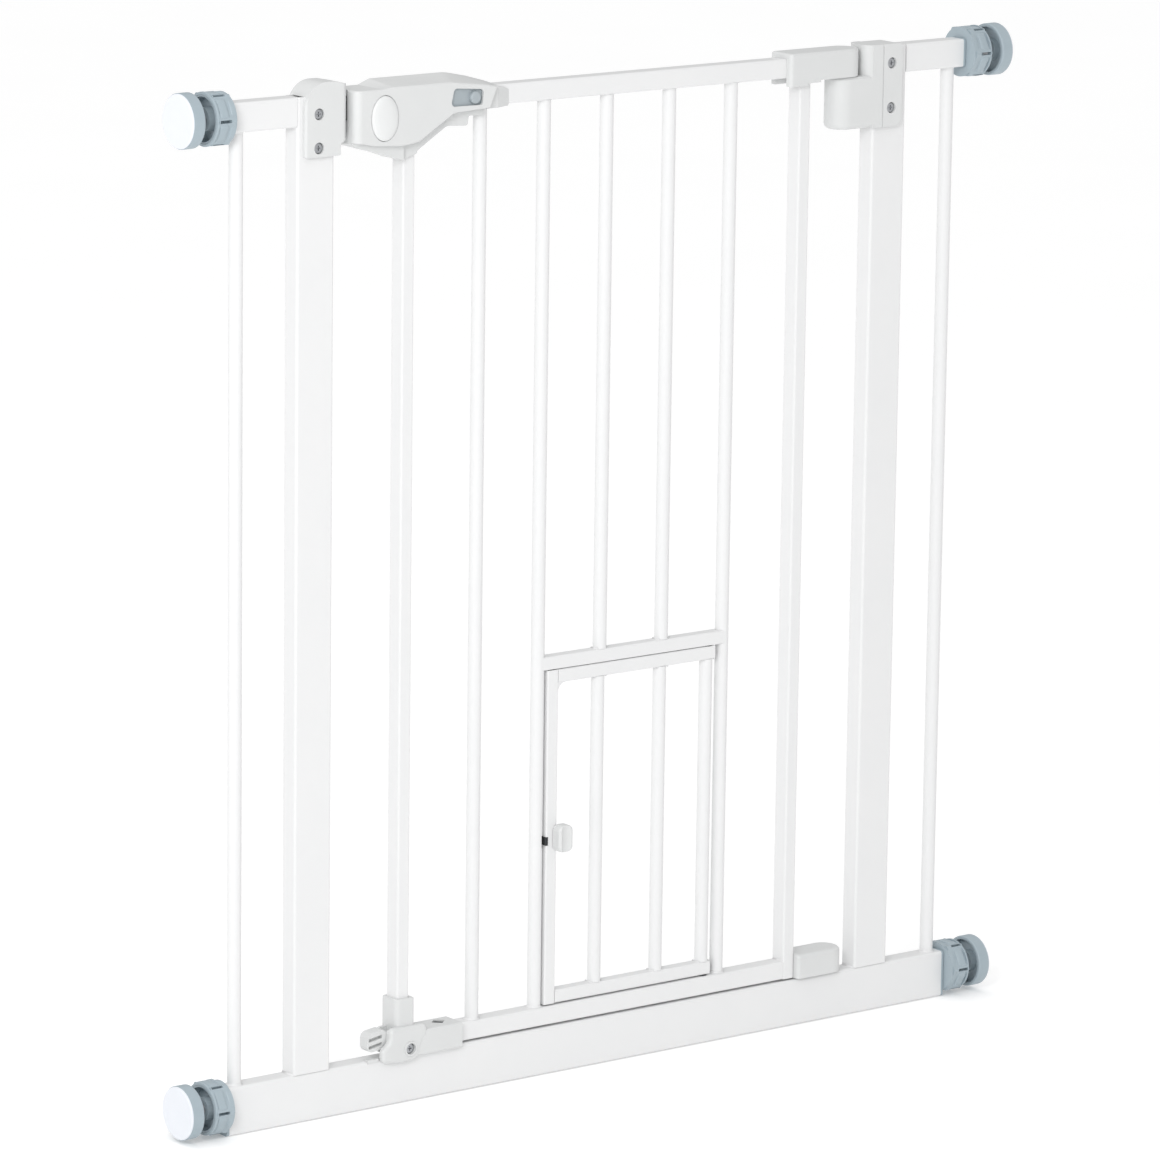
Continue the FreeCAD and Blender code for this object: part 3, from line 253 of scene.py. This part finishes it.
def revolve(bm, profile, centre, axis, steps):
    """Turns a closed profile of (radius, distance) points about an axis through centre."""
    axis = Vector(axis).normalized()
    side = axis.orthogonal().normalized()
    other = axis.cross(side)
    columns = []
    for i in range(steps):
        angle = 2 * math.pi * i / steps
        spoke = side * math.cos(angle) + other * math.sin(angle)
        columns.append([bm.verts.new(Vector(centre) + spoke * r + axis * d) for r, d in profile])
    for i in range(steps):
        a, b = columns[i], columns[(i + 1) % steps]
        for j in range(len(profile)):
            k = (j + 1) % len(profile)
            bm.faces.new((a[j], a[k], b[k], b[j]))


# ---- threaded spindles -----------------------------------------------------------------------
THREAD_PITCH = 1.5 * MM
THREAD_DEPTH = 0.8 * MM
THREAD_STEPS = 6
THREAD_AROUND = 28
THREAD_RUN_IN = 1.2 * MM
CREST_FLAT = 1.25


def threaded_rod(side):
    """Rod with a single-start thread in place of the plain CAD cylinder."""
    low, high = (Vector(c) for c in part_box("spindle_" + side))
    centre = (low + high) / 2
    radius = (high.z - low.z) / 2
    length = high.x - low.x
    rows = int(length / THREAD_PITCH * THREAD_STEPS)
    bm = bmesh.new()
    rings = []
    for row in range(rows + 1):
        along = length * row / rows
        lead = min(1.0, min(along, length - along) / THREAD_RUN_IN)
        ring = []
        for i in range(THREAD_AROUND):
            angle = 2 * math.pi * i / THREAD_AROUND
            phase = (along / THREAD_PITCH - i / THREAD_AROUND) % 1.0
            crest = 1.0 - abs(2.0 * phase - 1.0)
            r = radius - THREAD_DEPTH * (1.0 - min(1.0, crest * CREST_FLAT) * lead)
            ring.append((low.x + along, centre.y + r * math.cos(angle), centre.z + r * math.sin(angle)))
        rings.append(ring)
    skin_rings(bm, rings)
    return new_piece("threaded_rod_" + side, bm, side + "_spindle", "steel", ("spindle_" + side,))


# ---- hand nuts: raised grip pads and a rim ---------------------------------------------------
GRIP_SIDES = 6
GRIP_SINK = 0.3 * MM
GRIP_HEIGHT = 1.1 * MM
GRIP_MARGIN = 1.9 * MM
NUT_FLANGE = 4.6 * MM
NUT_RIM_WIDTH = 1.8 * MM
RIM_BEAD_RADIUS = 17.7 * MM
RIM_BEAD_WIDTH = 0.9 * MM
RIM_BEAD_HEIGHT = 0.6 * MM
RIM_BEAD_INSET = 0.35 * MM


def domed_pad(bm, origin, along, across, out, half_long, half_wide, height, cells=10):
    """Cushion-like pad with rounded corners, sunk a little into the face it stands on."""
    grid = []
    for i in range(cells + 1):
        row = []
        for j in range(cells + 1):
            u = -1 + 2 * i / cells
            v = -1 + 2 * j / cells
            x = u * math.sqrt(1 - 0.16 * v ** 4)
            y = v * math.sqrt(1 - 0.16 * u ** 4)
            edge = max(abs(u), abs(v))
            rise = height * (1 - edge ** 6) + 0.25 * height * (1 - v * v)
            if edge == 1:
                rise -= GRIP_SINK
            row.append(bm.verts.new(origin + along * (x * half_long) + across * (y * half_wide)
                                    + out * rise))
        grid.append(row)
    for i in range(cells):
        for j in range(cells):
            bm.faces.new((grid[i][j], grid[i + 1][j], grid[i + 1][j + 1], grid[i][j + 1]))
    border = [grid[i][0] for i in range(cells)] + [grid[cells][j] for j in range(cells)]
    border += [grid[i][cells] for i in range(cells, 0, -1)] + [grid[0][j] for j in range(cells, 0, -1)]
    bm.faces.new(list(reversed(border)))


def nut_grips(side):
    """Six cushioned pads on a nut's sides and a bead round its rim."""
    low, high = (Vector(c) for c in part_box("wheel_nut_" + side))
    centre = (low + high) / 2
    corner_radius = (high.y - low.y) / 2
    face_distance = corner_radius * math.cos(math.pi / GRIP_SIDES)
    outward = 1 if centre.x > 0 else -1
    rail_end, pad_end = (low.x, high.x) if outward > 0 else (high.x, low.x)
    inner_x = rail_end + outward * (NUT_FLANGE + 1.2 * MM)
    outer_x = pad_end - outward * (NUT_RIM_WIDTH + 0.4 * MM)
    half_long = abs(outer_x - inner_x) / 2
    middle_x = (outer_x + inner_x) / 2
    half_wide = corner_radius / 2 - GRIP_MARGIN
    bm = bmesh.new()
    for i in range(GRIP_SIDES):
        angle = math.pi / GRIP_SIDES + 2 * math.pi * i / GRIP_SIDES
        out = Vector((0, math.cos(angle), math.sin(angle)))
        across = Vector((0, -math.sin(angle), math.cos(angle)))
        origin = Vector((middle_x, centre.y, centre.z)) + out * (face_distance - 0.25 * MM)
        domed_pad(bm, origin, Vector((1, 0, 0)), across, out, half_long, half_wide, GRIP_HEIGHT)
    bead = []
    points = 10
    for k in range(points):
        angle = 2 * math.pi * k / points
        bead.append((RIM_BEAD_RADIUS + RIM_BEAD_WIDTH * math.cos(angle),
                     RIM_BEAD_HEIGHT * math.sin(angle)))
    revolve(bm, bead, (pad_end - outward * RIM_BEAD_INSET, centre.y, centre.z), (1, 0, 0), 48)
    return new_piece("nut_grips_" + side, bm, side + "_nut", "grey_plastic")


# ---- latch button: a dome in place of the flatter CAD face -----------------------------------
BUTTON_LIP = 1.2 * MM
BUTTON_FLANGE = 2.3 * MM
DOME_HEIGHT = 3.0 * MM
DOME_STEPS = 14
BUTTON_AROUND = 72


def domed_button():
    """Oval button with a soft dome, and the flange that keeps it in the cover."""
    low, high = (Vector(c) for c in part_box("latch_button"))
    centre = (low + high) / 2
    half_h = (high.z - low.z) / 2
    flange_w = (high.x - low.x) / 2
    half_w = flange_w - BUTTON_LIP
    flange_front = high.y - BUTTON_FLANGE
    shoulder = low.y + DOME_HEIGHT
    sections = [(flange_w, half_h, high.y), (flange_w, half_h, flange_front),
                (half_w, half_h, flange_front), (half_w, half_h, shoulder)]
    for k in range(1, DOME_STEPS):
        angle = math.pi / 2 * k / DOME_STEPS
        shrink = math.cos(angle) ** 0.8
        sections.append((half_w * shrink, half_h * shrink, shoulder - DOME_HEIGHT * math.sin(angle)))
    bm = bmesh.new()
    rings = []
    for w, h, y in sections:
        ring = []
        for i in range(BUTTON_AROUND):
            angle = 2 * math.pi * i / BUTTON_AROUND
            ring.append((centre.x + w * math.cos(angle), y, centre.z + h * math.sin(angle)))
        rings.append(ring)
    skin_rings(bm, rings)
    button = new_piece("domed_button", bm, "button", "white_plastic", ("latch_button",))
    paint(button, GLOSS_WHITE)


# ---- sleeve's diamond: painted shade in its recess -------------------------------------------
# Size and heights of the dark sheet laid in the diamond recess as painted shade.
DIAMOND_CENTRE = (-143.5 * MM, 0.5 * MM)
DIAMOND_HALF = (5.5 * MM, 5.1 * MM)
SHADE_SHEET_BOTTOM = 51.8 * MM
SHADE_SHEET_SHOULDER = 52.6 * MM
SHADE_SHEET_TOP = 52.8 * MM


def diamond_painted_shade():
    """Dark sheet at the bottom of the diamond-shaped recess on the corner sleeve: painted shade
    standing in for the shadowed hole.
    """
    bm = bmesh.new()
    rings = []
    for z, shrink in ((SHADE_SHEET_BOTTOM, 1.0), (SHADE_SHEET_SHOULDER, 0.98), (SHADE_SHEET_TOP, 0.85)):
        ring = []
        for u, v in ((-1, 0), (0, -1), (1, 0), (0, 1)):
            ring.append((DIAMOND_CENTRE[0] + u * DIAMOND_HALF[0] * shrink,
                         DIAMOND_CENTRE[1] + v * DIAMOND_HALF[1] * shrink, z))
        rings.append(ring)
    skin_rings(bm, rings)
    return new_piece("diamond_painted_shade", bm, "door", "dark_plastic")


# ---- weld fillets ----------------------------------------------------------------------------
WELD = 1.3 * MM
WELD_SINK = 0.3 * MM
WELD_AROUND = 36
BEAD_SWELLS = ((5, 1, 0.10), (11, 2, 0.05))


def weld_profile(radius, reach, steps=5):
    """Concave quarter-round between a bar's side and the flat it stands on."""
    points = [(radius - 0.4 * MM, -WELD_SINK)]
    for i in range(steps + 1):
        angle = math.pi / 2 * i / steps
        points.append((radius + reach * (1 - math.sin(angle)), reach * (1 - math.cos(angle))))
    points.append((radius - 0.4 * MM, reach))
    return points


def weld_bead(bm, x, z, radius, upward, rng):
    """Ring of weld round a bar's end, thickened unevenly as a hand-laid bead is."""
    start = len(bm.verts)
    revolve(bm, weld_profile(radius, WELD), (x, 0, z), (0, 0, upward), WELD_AROUND)
    bm.verts.ensure_lookup_table()
    shift = rng.random() * 6.28
    for vert in list(bm.verts)[start:]:
        angle = math.atan2(vert.co.y, vert.co.x - x)
        swell = 1 + sum(size * math.sin(waves * angle + turns * shift)
                        for waves, turns, size in BEAD_SWELLS)
        vert.co.z = z + (vert.co.z - z) * swell


def strip(bm, start, end, first, second, reach=WELD, steps=5):
    """Concave fillet strip along a line, between the flats that first and second point along."""
    start, end, first, second = (Vector(v) for v in (start, end, first, second))
    section = [-WELD_SINK * first - WELD_SINK * second]
    for i in range(steps + 1):
        angle = math.pi / 2 * i / steps
        section.append(first * reach * (1 - math.sin(angle)) + second * reach * (1 - math.cos(angle)))
    skin_rings(bm, [[start + p for p in section], [end + p for p in section]])


def frame_welds():
    """Beads round the outer bars' ends and fillets at the feet of the posts and under the top rails."""
    rng = random.Random(4)
    bm = bmesh.new()
    rail_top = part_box("bottom_rail")[1][2]
    for side in ("left", "right"):
        low, high = (Vector(c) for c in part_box(side + "_outer_bar"))
        bar_x, radius = (low.x + high.x) / 2, (high.x - low.x) / 2
        weld_bead(bm, bar_x, rail_top, radius, 1, rng)
        weld_bead(bm, bar_x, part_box(side + "_top_rail")[0][2], radius, -1, rng)
        low, high = (Vector(c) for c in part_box(side + "_post"))
        half = (high.y - low.y) / 2 - 1.6 * MM
        for x, out in ((low.x, -1), (high.x, 1)):
            strip(bm, (x, -half, rail_top), (x, half, rail_top), (out, 0, 0), (0, 0, 1))
        rail_low, rail_high = (Vector(c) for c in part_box(side + "_top_rail"))
        outer_x, out = (high.x, 1) if side == "right" else (low.x, -1)
        strip(bm, (outer_x, -half, rail_low.z), (outer_x, half, rail_low.z), (out, 0, 0), (0, 0, -1))
    return new_piece("frame_welds", bm, "frame", "powder_coat")


BAR_XS = (-113.5 * MM, -56.0 * MM, 116.8 * MM)
SHORT_BAR_XS = (1.3 * MM, 59.0 * MM)
BAR_R = 5.1 * MM
PET_BAR_XS = (0.0, 58.0 * MM, 102.0 * MM)
PET_BAR_R = 4.9 * MM
TUBE_WELD_HALF = 4.0 * MM
SMALL_WELD = 0.9 * MM


def door_welds():
    """Beads round the long bars' ends and fillets at the lintel and the stiles."""
    rng = random.Random(9)
    bm = bmesh.new()
    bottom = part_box("door_bottom_rail")[1][2]
    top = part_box("door_top_rail")[0][2]
    lintel_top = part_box("pet_door_lintel")[1][2]
    for x in BAR_XS:
        weld_bead(bm, x, bottom, BAR_R, 1, rng)
        weld_bead(bm, x, top, BAR_R, -1, rng)
    for x in SHORT_BAR_XS:
        weld_bead(bm, x, top, BAR_R, -1, rng)
        for out in (-1, 1):
            edge = x + out * BAR_R * 0.98
            strip(bm, (edge, -TUBE_WELD_HALF, lintel_top), (edge, TUBE_WELD_HALF, lintel_top),
                  (out, 0, 0), (0, 0, 1), SMALL_WELD)
    for stile in ("latch_stile", "hinge_stile"):
        low, high = (Vector(c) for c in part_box(stile))
        half = (high.y - low.y) / 2 - 1.4 * MM
        x, out = (high.x, 1) if stile == "latch_stile" else (low.x, -1)
        strip(bm, (x, -half, bottom), (x, half, bottom), (out, 0, 0), (0, 0, 1), 1.0 * MM)
        strip(bm, (x, -half, top), (x, half, top), (out, 0, 0), (0, 0, -1), 1.0 * MM)
    return new_piece("door_welds", bm, "door", "powder_coat")


def pet_door_welds():
    """Fillets where the pet door's bars and stiles meet its rails."""
    bm = bmesh.new()
    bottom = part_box("pet_bottom_rail")[1][2]
    top = bottom + (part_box("pet_hinge_stile")[1][2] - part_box("pet_hinge_stile")[0][2])
    half, reach = TUBE_WELD_HALF, SMALL_WELD
    for x in PET_BAR_XS:
        for out in (-1, 1):
            edge = x + out * PET_BAR_R
            strip(bm, (edge, -half, bottom), (edge, half, bottom), (out, 0, 0), (0, 0, 1), reach)
            strip(bm, (edge, -half, top), (edge, half, top), (out, 0, 0), (0, 0, -1), reach)
    low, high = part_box("pet_latch_stile")
    strip(bm, (high[0], -half, bottom), (high[0], half, bottom), (1, 0, 0), (0, 0, 1), reach)
    return new_piece("pet_door_welds", bm, "pet_door", "powder_coat")


for gate_side in SIDES:
    threaded_rod(gate_side)
    nut_grips(gate_side)
domed_button()
# dark sheet in the sleeve's diamond recess: painted shade
diamond_painted_shade()
frame_welds()
door_welds()
pet_door_welds()


# ---- floor, light and camera -----------------------------------------------------------------
FLOOR_HALF = 30.0
FLOOR_GAP = 0.5 * MM
FLOOR_GLOW = 0.19


def make_floor():
    mesh = bpy.data.meshes.new("floor")
    half = FLOOR_HALF
    mesh.from_pydata([(-half, -half, 0), (half, -half, 0), (half, half, 0), (-half, half, 0)], [],
                     [(0, 1, 2, 3)])
    floor = bpy.data.objects.new("floor", mesh)
    bpy.context.collection.objects.link(floor)
    floor.location.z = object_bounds()[0][2] - FLOOR_GAP
    material, tree, shader = new_material("pale_floor")
    tree.links.new(colour_between(tree, noise(tree, 3.0), (0.88, 0.88, 0.88), (0.9, 0.9, 0.9)),
                   shader.inputs["Base Color"])
    shader.inputs["Roughness"].default_value = 0.9
    shader.inputs["Specular IOR Level"].default_value = 0.1
    shader.inputs["Emission Color"].default_value = (1.0, 1.0, 1.0, 1.0)
    shader.inputs["Emission Strength"].default_value = FLOOR_GLOW
    paint(floor, material)


def area_light(name, location, target, size, power):
    data = bpy.data.lights.new(name, "AREA")
    data.shape = "SQUARE"
    data.size = size
    data.energy = power
    light = bpy.data.objects.new(name, data)
    bpy.context.collection.objects.link(light)
    light.location = location
    aim = Vector(target) - Vector(location)
    light.rotation_euler = aim.to_track_quat("-Z", "Y").to_euler()


CAMERA_PLACE = (-2.9658, -3.8692, 1.3981)
CAMERA_RIGHT = (0.796965, -0.603895, 0.012612)
CAMERA_UP = (0.114886, 0.172046, 0.978369)
CAMERA_BACK = (-0.593001, -0.778276, 0.206493)
CAMERA_LENS = 208.96


def make_camera():
    """Long lens from the front left, a little above the gate."""
    data = bpy.data.cameras.new("camera")
    data.sensor_width = 36.0
    data.lens = CAMERA_LENS
    data.clip_end = 60.0
    camera = bpy.data.objects.new("camera", data)
    bpy.context.collection.objects.link(camera)
    pose = Matrix((CAMERA_RIGHT, CAMERA_UP, CAMERA_BACK)).transposed().to_4x4()
    pose.translation = CAMERA_PLACE
    camera.matrix_world = pose
    bpy.context.scene.camera = camera


WORLD_LEVEL = 0.45
WORLD_SLOPE = (-0.16, -0.08, 0.68)


def make_world():
    """White studio, brighter overhead and to the front left."""
    world = bpy.data.worlds.new("studio")
    world.use_nodes = True
    tree = world.node_tree
    direction = tree.nodes.new("ShaderNodeTexCoord").outputs["Generated"]
    slope = tree.nodes.new("ShaderNodeVectorMath")
    slope.operation = "DOT_PRODUCT"
    slope.inputs[1].default_value = WORLD_SLOPE
    tree.links.new(direction, slope.inputs[0])
    level = tree.nodes.new("ShaderNodeMath")
    level.operation = "ADD"
    level.inputs[1].default_value = WORLD_LEVEL
    tree.links.new(slope.outputs["Value"], level.inputs[0])
    background = tree.nodes["Background"]
    background.inputs["Color"].default_value = (1.0, 1.0, 1.0, 1.0)
    tree.links.new(level.outputs[0], background.inputs["Strength"])
    bpy.context.scene.world = world


make_floor()
area_light("key", (-1.9, -1.5, 1.5), (0, 0, 0.45), 0.8, 24.0)
make_world()
make_camera()
bpy.context.scene.view_settings.view_transform = "Standard"
